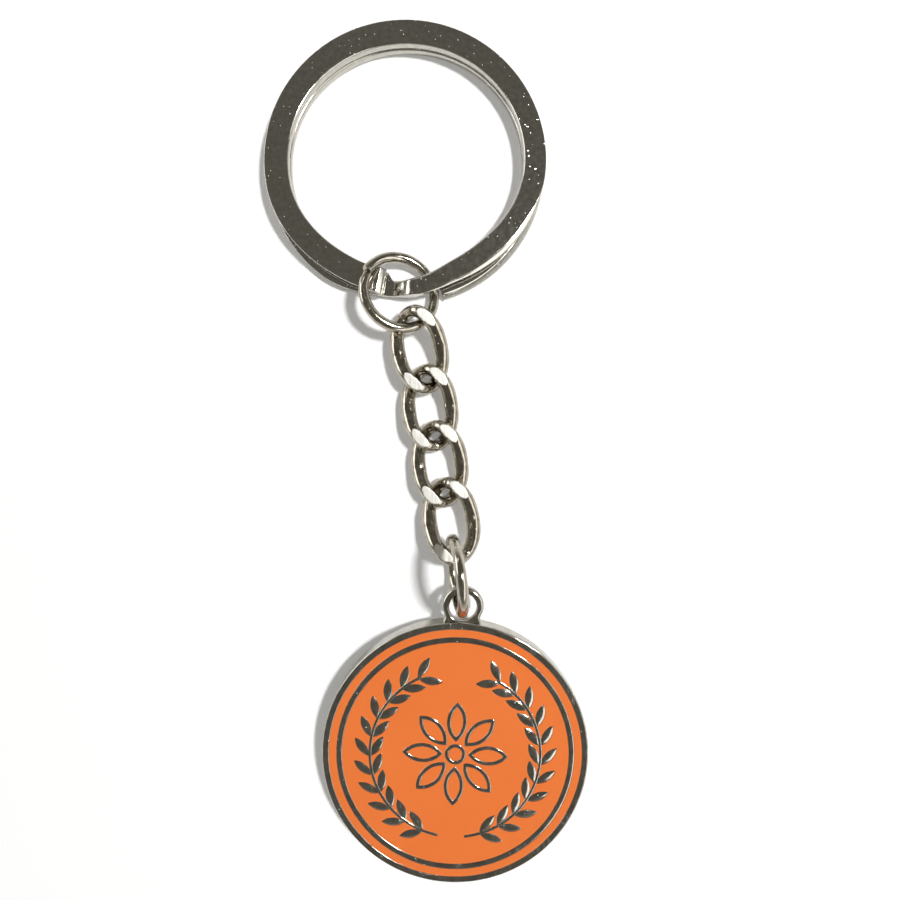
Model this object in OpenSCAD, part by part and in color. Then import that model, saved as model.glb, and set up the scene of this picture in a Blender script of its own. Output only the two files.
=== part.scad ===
// Souvenir keychain: a split key ring, a jump ring, four curb-chain links, a second jump ring
// and a round medallion with enamel fills. It lies on a flat surface at z = 0 as if just put down:
// the key ring's centre is at x = 0, y = 0, the chain runs towards -Y and the medallion faces +Z.

/* [Key ring] */
// Outside diameter of the split key ring
ring_d = 30; // [26:0.5:36]
// Radial width of the flat strip the ring is wound from
strip_w = 2.64; // [2:0.02:2.9]
// How much narrower the strip is where it runs past the key ring's right side
strip_taper = 0.25; // [0:0.01:0.36]
// How much narrower the strip is at its lower cut end
start_nip = 0.15; // [0:0.01:0.2]
// Thickness of one turn of the strip
strip_t = 0.92; // [0.8:0.02:1.05]
// Air between the two turns on the far side of the ring
turn_gap = 0.1; // [0.04:0.02:0.2]
// Room over the jump ring's wire where it lies in the pocket under the upper turn
pocket_gap = 0.12; // [0.1:0.01:0.2]
// Width of the strip at the neck of the crimp
crimp_w = 1.8; // [1.5:0.05:2]
// Length of the crimp, in degrees of the ring
crimp_angle = 16.5; // [14:0.5:18]
// How far the strip's outer edge draws in at the crimp
crimp_draw = 0.72; // [0.3:0.02:0.9]
// How much further the upper turn bows inwards beyond the crimp
turn_bow = 0.4; // [0:0.05:0.6]
// How far the upper turn's free end is pushed inwards
end_draw = 0.72; // [0.3:0.02:0.9]
// Extra width of the upper turn's sheared end
end_flare = 0.2; // [0:0.02:0.3]
// Length of the slope sheared on the upper turn's end, in degrees of the ring
end_slope = 2.6; // [1.5:0.1:4]
// Thickness left at the tip of that slope
end_tip = 0.46; // [0.42:0.02:0.6]
// Break of the strip's edges
strip_edge = 0.2; // [0.1:0.05:0.3]
// Width of the slope pressed on the upper turn's outer edge behind the crimp
press_slope = 0.38; // [0.3:0.02:0.5]
// Fall of that slope, in degrees
press_fall = 30; // [20:1:35]
// Width of the slope on the outer edge of the lower turn's first part
start_slope = 0.54; // [0.3:0.02:0.56]
// Fall of that slope, in degrees
start_fall = 45; // [40:1:52]

/* [Jump rings] */
// Diameter of the jump rings' wire
jump_wire = 1.1; // [0.9:0.05:1.15]
// Outside diameter of the jump ring on the key ring
top_jump_d = 8.9; // [8.7:0.1:9.4]
// Outside diameter of the jump ring on the medallion
bottom_jump_d = 8.5; // [8.3:0.1:9]
// Width of the saw cut where each jump ring's ends meet
jump_cut = 0.06; // [0.03:0.01:0.15]
// Tilt of the upper jump ring, left side up
top_jump_tilt = 22.4; // [21.6:0.2:23.2]
// Lean of the standing lower jump ring to the right
bottom_jump_lean = 7; // [5:0.5:8]
// How far in from the key ring's edge the upper jump ring's wire lies
pocket_in = 1.18; // [1:0.02:1.4]
// Clearance kept between a jump ring and the surface it lies on
rest_clear = 0.02; // [0.01:0.01:0.04]

/* [Chain] */
// Outside length of one link
link_len = 9.5; // [9.2:0.1:10]
// Outside width of one link
link_w = 6.1; // [5.9:0.05:6.4]
// Diameter of the links' wire
link_wire = 1.3; // [1.15:0.05:1.35]
// How much wider the wire is pressed along a link's sides, as a share of its diameter
link_press = 0.2; // [0:0.02:0.25]
// Twist of each end of a link out of its middle plane
link_twist = 44; // [38:1:46]
// Thickness of a link over its ground flats
link_thick = 2.5; // [2.3:0.05:2.7]
// Squareness of the link's oval: 2 is an ellipse
link_square = 2.4; // [2.2:0.1:2.8]
// How closely the twist is gathered at a link's ends: 1 spreads it evenly
link_gather = 1.5; // [1:0.1:1.8]
// Play between two links that are pulled straight
link_play = 0.7; // [0.6:0.05:0.9]
// Play between the upper jump ring and the first link
top_play = 0.43; // [0.35:0.01:0.5]
// Play between the last link and the lower jump ring
bottom_play = 1.36; // [1.3:0.02:1.5]

/* [Medallion] */
// Diameter of the medallion
medal_d = 28; // [24:0.5:36]
// Thickness of the medallion
medal_t = 2; // [1.6:0.1:2.6]
// Break of the rim's edges
rim_edge = 0.15; // [0.05:0.05:0.25]
// Width of the polished rim
rim_w = 0.72; // [0.5:0.01:0.9]
// Radial width of the enamel band inside the rim
border_w = 0.78; // [0.6:0.02:1.2]
// Width of the raised circle
circle_w = 0.6; // [0.4:0.02:0.8]
// Depth of the enamel
enamel_t = 0.5; // [0.3:0.05:0.8]
// How far the enamel lies below the metal lines
enamel_drop = 0.03; // [0.01:0.01:0.08]

/* [Lug] */
// Outside diameter of the lug
lug_d = 4.4; // [4.1:0.1:5]
// Diameter of the lug's hole
lug_hole_d = 2.85; // [2.7:0.05:3]
// Thickness of the lug
lug_t = 0.95; // [0.8:0.05:1]
// How far the lug's back stands in from the medallion's back
lug_set_in = 0.75; // [0.6:0.05:0.8]
// Distance from the medallion's edge to the centre of the lug's hole
lug_reach = 1.55; // [1.5:0.05:1.9]
// Break of the hole's edges
lug_edge = 0.12; // [0.05:0.01:0.2]
// How far inside the jump ring's wire the near edge of the hole lies
lug_hook = 1; // [0.9:0.05:1.2]
// How far the lug hangs to the right of the jump ring's middle
lug_shift = 0.5; // [0.4:0.02:0.54]
// Clearance between the lug's underside and the jump ring's wire
lug_clear = 0.24; // [0.2:0.01:0.28]

/* [Ornament] */
// Width of the rosette's raised lines
line_w = 0.4; // [0.25:0.05:0.6]
// Number of petals in the rosette
petals = 8; // [5:1:10]
// Diameter of the rosette's middle ring, over its line
heart_d = 2.2; // [1.6:0.1:2.4]
// Enamel between the middle ring and a petal's inner point
heart_gap = 0.22; // [0.15:0.01:0.4]
// Enamel between two petals where they are widest
petal_gap = 0.55; // [0.3:0.05:0.8]
// Enamel between the petals' points and the leaves
rosette_margin = 1.9; // [1:0.1:2.2]
// Enamel between the leaves' points and the raised circle
wreath_margin = 1.45; // [0.8:0.05:1.7]
// Width of the wreath's stems
stem_w = 0.32; // [0.2:0.02:0.5]
// Least distance along the stem from one pair of leaves to the next
leaf_step = 2.05; // [1.9:0.05:3]
// Length of a leaf
leaf_len = 2.5; // [2:0.1:2.8]
// Width of a leaf
leaf_w = 0.92; // [0.6:0.02:1.1]
// Angle between a leaf and its stem
leaf_angle = 34; // [25:1:45]
// Half the open angle between the sprays at the top
wreath_open = 26; // [15:1:40]
// Half the angle between the sprays' feet at the bottom
wreath_foot = 9; // [6:1:14]

/* [Hidden] */
$fn = 64;
eps = 0.01;
nickel = "silver";
orange = "darkorange";

// Eases from 0 to 1 as u goes from 0 to 1.
function ease(u) = let (v = min(1, max(0, u))) v * v * (3 - 2 * v);
function unit(v) = v / norm(v);
function plan(angle, r) = [r * cos(angle), r * sin(angle), 0];

// ---- Key ring: one strip wound twice, with a crimp where it climbs to the upper turn.
// Angles run on past 360 degrees along the strip, from its lower end to its upper end.
full_turn = 360;
ring_r = ring_d / 2;
strip_mid_r = ring_r - strip_w / 2;
crimp_from = 263 + full_turn;
crimp_to = crimp_from + crimp_angle;
neck_from = crimp_from - 2.8;
neck = crimp_from + 1.4;
pocket_angle = 6 * jump_wire / 1.1 * 13.8 / strip_mid_r;
strip_from = crimp_to + pocket_angle - full_turn;
strip_to = crimp_from - 3 + full_turn;
near_gap = jump_wire + pocket_gap - strip_t;
// Gap between the turns: widest at the crimp, where the jump ring's wire props it open.
function gap_at(a) = turn_gap + (near_gap - turn_gap) * (1 - sin(a)) / 2;
function rise_at(a) = strip_t + gap_at(a);
function floor_at(a) = rise_at(a) * ease((a - crimp_from - 0.3 * crimp_angle) / (0.7 * crimp_angle));
function top_at(a) = strip_t + rise_at(a) * ease((a - crimp_from) / (0.7 * crimp_angle))
    - (strip_t - end_tip) * min(1, max(0, (a - strip_to + end_slope) / end_slope));
function draw_at(a) =
    let (in_crimp = crimp_draw * ease((a - crimp_from + 31) / 32),
         beyond = turn_bow * ease((a - crimp_from - 11) / 22),
         past = ease((a - crimp_from - 22) / 75),
         at_end = end_draw * ease((a - strip_to + 70) / 52))
    (in_crimp + beyond) * (1 - past) + at_end;
function width_at(a) =
    let (side = strip_taper * pow((1 + cos(a - 18)) / 2, 6)
             + start_nip * (1 - ease((a - strip_from) / 20)),
         into = ease((a - neck_from) / (neck - neck_from)), out_of = ease((a - neck) / 55),
         flare = end_flare * ease((a - strip_to + 8) / 8))
    strip_w - side - (strip_w - side - crimp_w) * into * (1 - out_of) + flare;
function outer_at(a) = ring_r - draw_at(a) + end_flare / 2 * ease((a - strip_to + 8) / 8);

// How much of each slope the outer edge has: behind the crimp, and after the strip's lower end.
function pressed_at(a) = ease((a - crimp_from - 10) / 22) * (1 - ease((a - crimp_from - 72) / 22));
function started_at(a) = 1 - ease((a - strip_from - 68) / 20);
function slope_at(a) =
    [strip_edge, strip_edge]
    + pressed_at(a) * (press_slope * [1, tan(press_fall)] - [strip_edge, strip_edge])
    + started_at(a) * (start_slope * [1, tan(start_fall)] - [strip_edge, strip_edge]);

// Cross-section of the strip at one angle: a flat bar with broken edges, one of them sloped.
function strip_section(a) =
    let (o = outer_at(a), i = o - width_at(a), f = floor_at(a), t = top_at(a), e = strip_edge,
         s = slope_at(a))
    [for (p = [[i + e, f], [o - e, f], [o, f + e], [o, t - s[1]],
               [o - s[0], t], [i + e, t], [i, t - e], [i, f + e]])
        plan(a, p[0]) + [0, 0, p[1]]];

plain_step = 5;
crimp_step = 1.5;
function strip_angles() = concat(
    [for (a = [strip_from : plain_step : neck_from - 2]) a],
    [for (a = [neck_from - 0.2 : crimp_step : crimp_to + 3]) a],
    [for (a = [crimp_to + 6 : plain_step : strip_to - end_slope - 1]) a],
    [strip_to - end_slope, strip_to]);

// Skins a list of equal rings of points; closed joins the last ring to the first.
module skin(rings, closed) {
    count = len(rings);
    sides = len(rings[0]);
    last = closed ? count - 1 : count - 2;
    walls = [for (i = [0 : last], j = [0 : sides - 1])
        let (a = i * sides, b = ((i + 1) % count) * sides, k = (j + 1) % sides)
        [[a + j, a + k, b + j], [b + j, a + k, b + k]]];
    lids = closed ? [] : [[for (j = [sides - 1 : -1 : 0]) j],
                          [for (j = [0 : sides - 1]) (count - 1) * sides + j]];
    polyhedron([for (r = rings, p = r) p], concat([for (w = walls, f = w) f], lids), 4);
}

module split_ring()
    color(nickel) skin([for (a = strip_angles()) strip_section(a)], false);

// ---- Jump rings: round wire bent to a ring, with a saw cut where its ends meet.
module jump_ring(outer_d, cut_at)
    difference() {
        rotate_extrude() translate([(outer_d - jump_wire) / 2, 0]) circle(d = jump_wire);
        rotate([0, 0, cut_at]) translate([0, -jump_cut / 2, -jump_wire])
            cube([outer_d, jump_cut, 2 * jump_wire]);
    }

// The upper jump ring leans: its left side lies over both turns of the key ring and its right
// side lies on the surface, in the pocket beside the crimp.
top_jump_r = (top_jump_d - jump_wire) / 2;
top_jump_nod = -3.5;
top_jump_lean = 10.9;
pocket_mid = crimp_to + 3;
flatness = cos(top_jump_tilt) * cos(top_jump_nod);
top_jump_rise = top_jump_r * sqrt(1 - flatness * flatness) + jump_wire / 2 + rest_clear;
low_side = top_jump_r * [cos(top_jump_tilt), sin(top_jump_tilt) * sin(top_jump_nod)];
top_jump_at = plan(pocket_mid, ring_r - pocket_in)
    - plan(top_jump_lean, low_side[0]) - plan(top_jump_lean + 90, low_side[1])
    + [0, 0, top_jump_rise];

module jump_ring_top()
    color(nickel) translate(top_jump_at) rotate([0, 0, top_jump_lean])
        rotate([top_jump_nod, 0, 0]) rotate([0, top_jump_tilt, 0])
            jump_ring(top_jump_d, 143);

// ---- Chain links: an oval of wire, twisted so that neighbours lie flat, with ground flats.
link_half = (link_len - link_wire) / 2;
link_side = (link_w - link_wire * (1 + link_press)) / 2;
wire_sides = 12;
link_rings = 60;

function spread(v) = sign(v) * pow(abs(v), 2 / link_square);
function link_point(t) =
    let (y = spread(sin(t)), x = link_side * spread(cos(t)),
         w = link_twist * sign(y) * pow(abs(y), link_gather))
    [x * cos(w), link_half * y, x * sin(w)];
function link_section(t) =
    let (c = link_point(t), d = unit(link_point(t + 2) - link_point(t - 2)),
         u = unit(cross(d, [0, 0, 1])), v = cross(u, d), r = link_wire / 2, h = link_thick / 2,
         wide = 1 + link_press * cos(t) * cos(t))
    [for (k = [0 : wire_sides - 1])
        let (q = full_turn * k / wire_sides, p = c + r * (wide * u * cos(q) + v * sin(q)))
        [p[0], p[1], min(h, max(-h, p[2]))]];

module link_body()
    skin([for (i = [0 : link_rings - 1]) link_section(full_turn * (i + 0.5) / link_rings)], true);

// How the chain lies: the lean and pitch of each link, the direction of each step down the
// chain, and the share of its play that each pair of links has taken up.
link_lean = [11.8, 7, 7.5, 10];
link_pitch = [6.7, 0, 0, -6];
step_lean = [19.2, 9.9, 10.2, 11.3];
play_share = [0.96, 1.13, 1];
inside_len = link_len - 2 * link_wire;
step_len = concat([top_jump_r + link_half - (jump_wire + link_wire) / 2 - top_play],
                  [for (s = play_share) inside_len - s * link_play]);

function down(lean, length) = [length * sin(lean), -length * cos(lean), 0];
function link_at(i) =
    i == 0 ? [top_jump_at[0], top_jump_at[1], 0] + down(step_lean[0], step_len[0])
    : link_at(i - 1) + down(step_lean[i], step_len[i]);

module chain_link(i)
    color(nickel) translate(link_at(i) + [0, 0, link_thick / 2 + link_half * abs(sin(link_pitch[i]))])
        rotate([0, 0, link_lean[i]]) rotate([link_pitch[i], 0, 0]) link_body();

module chain_link_1() chain_link(0);
module chain_link_2() chain_link(1);
module chain_link_3() chain_link(2);
module chain_link_4() chain_link(3);

// ---- Lower jump ring: it stands on edge, threaded through the last link and the lug.
bottom_jump_r = (bottom_jump_d - jump_wire) / 2;
bottom_jump_step = link_half + bottom_jump_r - (jump_wire + link_wire) / 2 - bottom_play;
bottom_jump_yaw = 6.6;
bottom_step_lean = 6.2;
bottom_jump_at = link_at(3) + down(bottom_step_lean, bottom_jump_step)
    + [0, 0, bottom_jump_r * cos(bottom_jump_lean) + jump_wire / 2 + rest_clear];

module jump_ring_bottom()
    color(nickel) translate(bottom_jump_at) rotate([0, 0, bottom_jump_yaw])
        rotate([0, 90 + bottom_jump_lean, 0]) jump_ring(bottom_jump_d, 30);

// ---- Medallion: its lug is hooked by the lower jump ring, which props the near edge up,
// and its far edge rests on the surface. It is drawn flat with its back at z = 0, then placed.
medal_r = medal_d / 2;
lug_at = medal_r + lug_reach;
medal_lean = -3;
bar_in = lug_hole_d / 2;
bar_room = bottom_jump_r - jump_wire / 2;
bar_step = bar_room - lug_hook;
bar_height = bottom_jump_at[2] - sqrt(bar_room * bar_room - bar_step * bar_step) + lug_clear;
medal_tilt = asin((bar_height - lug_set_in) / (medal_r + lug_at + bar_in));
lug_place = [bottom_jump_at[0] + lug_shift, bottom_jump_at[1], 0]
    + down(bottom_jump_yaw, bar_step) + down(medal_lean, bar_in);

module on_jump_ring()
    translate(lug_place) rotate([0, 0, medal_lean])
        translate([0, (medal_r + lug_at) * (1 - cos(medal_tilt)), 0])
            translate([0, -medal_r - lug_at, 0]) rotate([medal_tilt, 0, 0])
                translate([0, medal_r, 0]) children();

border_out = medal_r - rim_w;
border_in = border_out - border_w;
field_r = border_in - circle_w;
pocket_floor = medal_t - enamel_t;
enamel_h = enamel_t - enamel_drop;
ornament_h = enamel_t + eps;

// Lens shape between two arcs, along X, centred.
module lens(length, width) {
    arc_r = (length * length + width * width) / (4 * width);
    intersection() {
        translate([0, width / 2 - arc_r]) circle(r = arc_r, $fn = 128);
        translate([0, arc_r - width / 2]) circle(r = arc_r, $fn = 128);
    }
}

// The same lens, smaller by a line width all round.
module lens_inside(length, width, line) {
    arc_r = (length * length + width * width) / (4 * width);
    intersection() {
        translate([0, width / 2 - arc_r]) circle(r = arc_r - line, $fn = 128);
        translate([0, arc_r - width / 2]) circle(r = arc_r - line, $fn = 128);
    }
}

leaf_rise = (leaf_len + stem_w / 2) * sin(leaf_angle);
wreath_r = field_r - wreath_margin - leaf_rise;
petal_start = heart_d / 2 + heart_gap;
petal_reach = wreath_r - leaf_rise - rosette_margin;
petal_len = petal_reach - petal_start;
petal_w = (petal_start + petal_reach) * sin(full_turn / 2 / petals) - petal_gap;
module each_petal()
    for (i = [0 : petals - 1])
        rotate([0, 0, 90 + full_turn * i / petals]) translate([petal_start + petal_len / 2, 0])
            children();

spray_span = 180 - wreath_open - wreath_foot;
leaf_pairs = floor(wreath_r * spray_span * PI / 180 / leaf_step);
module sprays()
    for (side = [0, 1])
        mirror([side, 0]) children();

module leaves()
    for (i = [0 : leaf_pairs - 1], side = [-1, 1])
        rotate([0, 0, -90 + wreath_foot + spray_span * (i + 0.75) / leaf_pairs])
            translate([wreath_r, 0]) rotate([0, 0, 90 + side * leaf_angle])
                translate([leaf_len / 2 + stem_w / 2, 0]) lens(leaf_len, leaf_w);

module stem()
    intersection() {
        difference() {
            circle(r = wreath_r + stem_w / 2, $fn = 128);
            circle(r = wreath_r - stem_w / 2, $fn = 128);
        }
        polygon(concat([[0, 0]],
            [for (k = [0 : 8]) let (a = -90 + wreath_foot + spray_span * k / 8)
                2 * wreath_r * [cos(a), sin(a)]]));
    }

module wreath()
    sprays() {
        leaves();
        stem();
    }

module rosette_lines() {
    each_petal() difference() {
        lens(petal_len, petal_w);
        lens_inside(petal_len, petal_w, line_w);
    }
    difference() {
        circle(d = heart_d);
        circle(d = heart_d - 2 * line_w);
    }
}

module lug() {
    translate([0, lug_at, lug_set_in]) cylinder(d = lug_d, h = lug_t);
    translate([-lug_d / 2, medal_r - 1, lug_set_in]) cube([lug_d, lug_reach + 1, lug_t]);
}

module lug_bore()
    translate([0, lug_at, 0]) rotate_extrude() polygon([
        [0, lug_set_in - eps],
        [lug_hole_d / 2 + lug_edge + eps, lug_set_in - eps],
        [lug_hole_d / 2, lug_set_in + lug_edge],
        [lug_hole_d / 2, lug_set_in + lug_t - lug_edge],
        [lug_hole_d / 2 + lug_edge + eps, lug_set_in + lug_t + eps],
        [0, lug_set_in + lug_t + eps]]);

module blank()
    difference() {
        union() {
            rotate_extrude($fn = 180) polygon([
                [0, 0], [medal_r - rim_edge, 0], [medal_r, rim_edge],
                [medal_r, medal_t - rim_edge], [medal_r - rim_edge, medal_t], [0, medal_t]]);
            lug();
        }
        lug_bore();
        translate([0, 0, pocket_floor]) difference() {
            cylinder(r = border_out, h = ornament_h, $fn = 180);
            translate([0, 0, -eps]) cylinder(r = border_in, h = ornament_h + 2 * eps, $fn = 180);
        }
        translate([0, 0, pocket_floor]) cylinder(r = field_r, h = ornament_h, $fn = 180);
    }

module medallion_body()
    color(nickel) on_jump_ring() union() {
        blank();
        translate([0, 0, pocket_floor - eps]) linear_extrude(enamel_t + eps) wreath();
        translate([0, 0, pocket_floor - eps]) linear_extrude(enamel_t + eps) rosette_lines();
    }

module enamel_border()
    color(orange) on_jump_ring() translate([0, 0, pocket_floor]) linear_extrude(enamel_h)
        difference() {
            circle(r = border_out, $fn = 180);
            circle(r = border_in, $fn = 180);
        }

module enamel_field()
    color(orange) on_jump_ring() translate([0, 0, pocket_floor]) linear_extrude(enamel_h)
        difference() {
            circle(r = field_r, $fn = 180);
            wreath();
            each_petal() lens(petal_len, petal_w);
            circle(d = heart_d);
        }

module enamel_petals()
    color(orange) on_jump_ring() translate([0, 0, pocket_floor]) linear_extrude(enamel_h)
        difference() {
            each_petal() lens_inside(petal_len, petal_w, line_w);
            circle(d = heart_d);
        }

module enamel_heart()
    color(orange) on_jump_ring() translate([0, 0, pocket_floor]) linear_extrude(enamel_h)
        circle(d = heart_d - 2 * line_w);

split_ring();
jump_ring_top();
chain_link_1();
chain_link_2();
chain_link_3();
chain_link_4();
jump_ring_bottom();
medallion_body();
enamel_border();
enamel_field();
enamel_petals();
enamel_heart();
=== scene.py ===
# %% [markdown]
# # A souvenir keychain in cells
# The object is a split key ring, a jump ring, four curb links, a second jump ring and a round
# medallion with hard enamel. The frame already holds exact solids in metres, one for each
# part. This lesson opens that frame, then dresses each part with a finer mesh and a finish.
# Each finer mesh prints how far its box lies from the box of its CAD solid.

import math

import bpy
import numpy as np
from mathutils import Matrix, Vector


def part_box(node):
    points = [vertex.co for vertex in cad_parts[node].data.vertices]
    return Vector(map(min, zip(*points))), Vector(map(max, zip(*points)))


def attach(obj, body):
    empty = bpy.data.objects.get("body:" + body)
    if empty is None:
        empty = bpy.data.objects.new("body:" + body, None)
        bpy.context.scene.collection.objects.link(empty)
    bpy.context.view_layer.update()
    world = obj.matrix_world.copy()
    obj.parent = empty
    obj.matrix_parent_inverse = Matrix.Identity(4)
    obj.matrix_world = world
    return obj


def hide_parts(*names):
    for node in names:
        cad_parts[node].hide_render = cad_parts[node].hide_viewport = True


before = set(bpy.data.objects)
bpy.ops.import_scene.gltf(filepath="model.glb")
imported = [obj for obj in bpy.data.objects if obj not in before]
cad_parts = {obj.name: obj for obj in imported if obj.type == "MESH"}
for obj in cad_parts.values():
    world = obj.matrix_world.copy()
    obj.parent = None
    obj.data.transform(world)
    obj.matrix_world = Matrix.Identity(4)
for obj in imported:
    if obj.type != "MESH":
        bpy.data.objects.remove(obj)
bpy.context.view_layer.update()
mm = 0.001
scene = bpy.context.scene

# %% [markdown]
# The keychain lies flat and is seen straight from above, a hand's width up. A camera with no
# turn at all looks down its own -Z axis, so only its place and lens are needed. A short lens
# this close makes the walls of the ring lean outwards, which is part of the look.

# %% Camera above the chain
sensor_mm, lens_mm, eye_mm, nearest_mm = 36, 23.388, (4.77, -30.75, 64), 2
camera_data = bpy.data.cameras.new("camera")
camera_data.sensor_width = sensor_mm
camera_data.lens = lens_mm
camera_data.clip_start = nearest_mm * mm
camera = bpy.data.objects.new("camera", camera_data)
camera.location = Vector(eye_mm) * mm
scene.collection.objects.link(camera)
scene.camera = camera
print("lens %.2f mm" % camera_data.lens)

# %% [markdown]
# A plain pale sheet carries the object. Its colour is white paper. A light box makes such a
# sheet a little brighter where it is looked at or mirrored than where it is lit, so a weak
# glow is added for seen and mirrored rays only. The shadow stays, because the glow is weak.

# %% Math step of a shader
def link_math(tree, operation, a, b=None, c=None):
    """A math step in a shader tree; a, b and c are numbers or sockets."""
    step = tree.nodes.new("ShaderNodeMath")
    step.operation = operation
    for socket, value in zip(step.inputs, (a, b, c)):
        if isinstance(value, (int, float)):
            socket.default_value = value
        elif value is not None:
            tree.links.new(value, socket)
    return step.outputs[0]


print("math step ready")

# %% Pale floor
floor_half, paper_white, seen_glow = 1.5, (0.93, 0.93, 0.935, 1), 0.175
floor_mesh = bpy.data.meshes.new("floor_sheet")
floor_mesh.from_pydata([(x * floor_half, y * floor_half, 0)
                        for x, y in ((-1, -1), (1, -1), (1, 1), (-1, 1))], [], [(0, 1, 2, 3)])
floor = bpy.data.objects.new("floor_sheet", floor_mesh)
scene.collection.objects.link(floor)
paper = bpy.data.materials.new("white_paper")
paper.use_nodes = True
tree = paper.node_tree
tree.nodes.clear()
out = tree.nodes.new("ShaderNodeOutputMaterial")
sheet = tree.nodes.new("ShaderNodeBsdfDiffuse")
sheet.inputs["Color"].default_value = paper_white
glow = tree.nodes.new("ShaderNodeEmission")
both = tree.nodes.new("ShaderNodeAddShader")
rays = tree.nodes.new("ShaderNodeLightPath")
seen = link_math(tree, "MAXIMUM", rays.outputs["Is Camera Ray"], rays.outputs["Is Glossy Ray"])
seen = link_math(tree, "MAXIMUM", seen, rays.outputs["Is Transmission Ray"])
tree.links.new(link_math(tree, "MULTIPLY", seen, seen_glow), glow.inputs["Strength"])
tree.links.new(sheet.outputs[0], both.inputs[0])
tree.links.new(glow.outputs[0], both.inputs[1])
tree.links.new(both.outputs[0], out.inputs["Surface"])
floor.data.materials.append(paper)
print("floor sheet %.0f m wide at z = 0" % (2 * floor_half))

# %% [markdown]
# Polished nickel has hardly a colour of its own: it shows the room. The room here is a studio
# with pale walls near the floor and a dim ceiling, so faces that look up turn dark and rounded
# edges catch a bright line. A colour ramp over the height of each direction paints that room.

# %% Studio room
world = bpy.data.worlds.new("studio")
scene.world = world
world.use_nodes = True
nodes, links = world.node_tree.nodes, world.node_tree.links
nodes.clear()
where = nodes.new("ShaderNodeTexCoord")
split = nodes.new("ShaderNodeSeparateXYZ")
ramp = nodes.new("ShaderNodeValToRGB")
room = nodes.new("ShaderNodeBackground")
out = nodes.new("ShaderNodeOutputWorld")
room_steps = [(0.0, 0.84, 0.84, 0.84), (0.14, 0.78, 0.78, 0.77), (0.33, 0.26, 0.25, 0.23),
              (0.55, 0.145, 0.14, 0.125), (1.0, 0.14, 0.135, 0.12)]
while len(ramp.color_ramp.elements) < len(room_steps):
    ramp.color_ramp.elements.new(0.5)
for stop, (at, r, g, b) in zip(ramp.color_ramp.elements, room_steps):
    stop.position = at
    stop.color = (r, g, b, 1)
links.new(where.outputs["Generated"], split.inputs[0])
links.new(split.outputs["Z"], ramp.inputs["Fac"])
links.new(ramp.outputs["Color"], room.inputs["Color"])
links.new(room.outputs[0], out.inputs["Surface"])
print("ceiling", room_steps[-1][1:], "walls", room_steps[0][1:])

# %% [markdown]
# Soft lamps stand for the lights. The key lamp is up on the right and a little to the back, so
# the shadow falls to the left and slightly forward. Two broad lamps low at the sides are there
# to be mirrored: they give the wires their long thin lights, and as diffuse rays miss them they
# cast no second shadow. An area lamp's power spreads over its face, so power follows from its
# brightness and its size.

# %% Lamps
lamp_aim = Vector((0.005, -0.03, 0))


def soft_lamp(name, azimuth, elevation, distance, width, height, brightness):
    """A rectangular lamp that faces the chain: angles in degrees, lengths in metres."""
    a, e = math.radians(azimuth), math.radians(elevation)
    away = Vector((math.cos(e) * math.cos(a), math.cos(e) * math.sin(a), math.sin(e)))
    lamp = bpy.data.lights.new(name, "AREA")
    lamp.shape = "RECTANGLE"
    lamp.size, lamp.size_y = width, height
    lamp.energy = brightness * math.pi * width * height
    lamp_object = bpy.data.objects.new(name, lamp)
    lamp_object.location = lamp_aim + away * distance
    lamp_object.rotation_euler = away.to_track_quat("Z", "Y").to_euler()
    scene.collection.objects.link(lamp_object)
    return lamp_object


for name, azimuth, elevation, distance, width, height, brightness, gives_shadow in (
        ("key_lamp", 16, 60, 0.9, 0.1, 0.1, 220, True),
        ("right_box", -25, 36, 0.8, 1.2, 0.3, 2.0, False),
        ("left_strip", 160, 23, 0.8, 0.6, 0.3, 3.0, False),
        ("back_strip", 110, 38, 0.8, 0.4, 0.08, 2.0, True)):
    lamp = soft_lamp(name, azimuth, elevation, distance, width, height, brightness)
    lamp.visible_diffuse = gives_shadow

# %% [markdown]
# Handled plating has the same faults everywhere: a cloudy tone, fine hairlines and small
# bright specks. Each comes from a noise on the place on the surface. Two small helpers make
# such a noise and stretch the place it reads, so that a noise can run one way like scratches.

# %% Noise helpers
def noise(tree, place, scale, detail=2.0, roughness=0.5):
    """A cloudy value between 0 and 1; a larger scale makes smaller clouds."""
    texture = tree.nodes.new("ShaderNodeTexNoise")
    tree.links.new(place, texture.inputs["Vector"])
    for label, value in (("Scale", scale), ("Detail", detail), ("Roughness", roughness)):
        if isinstance(value, (int, float)):
            texture.inputs[label].default_value = value
        else:
            tree.links.new(value, texture.inputs[label])
    return texture.outputs[0]


def stretched(tree, place, turn, scale):
    """The place turned about Z, then scaled along each axis."""
    mapping = tree.nodes.new("ShaderNodeMapping")
    mapping.inputs["Rotation"].default_value = (0, 0, turn)
    mapping.inputs["Scale"].default_value = scale
    tree.links.new(place, mapping.inputs["Vector"])
    return mapping.outputs[0]


print("noise helpers ready")

# %% [markdown]
# One node group holds all the faults, so each metal only chooses its own amounts. The group
# takes the place in and gives masks and a height out, never a shader. Specks are the hearts of
# scattered cells, and hairlines are where a stretched noise crosses its middle value.

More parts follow.
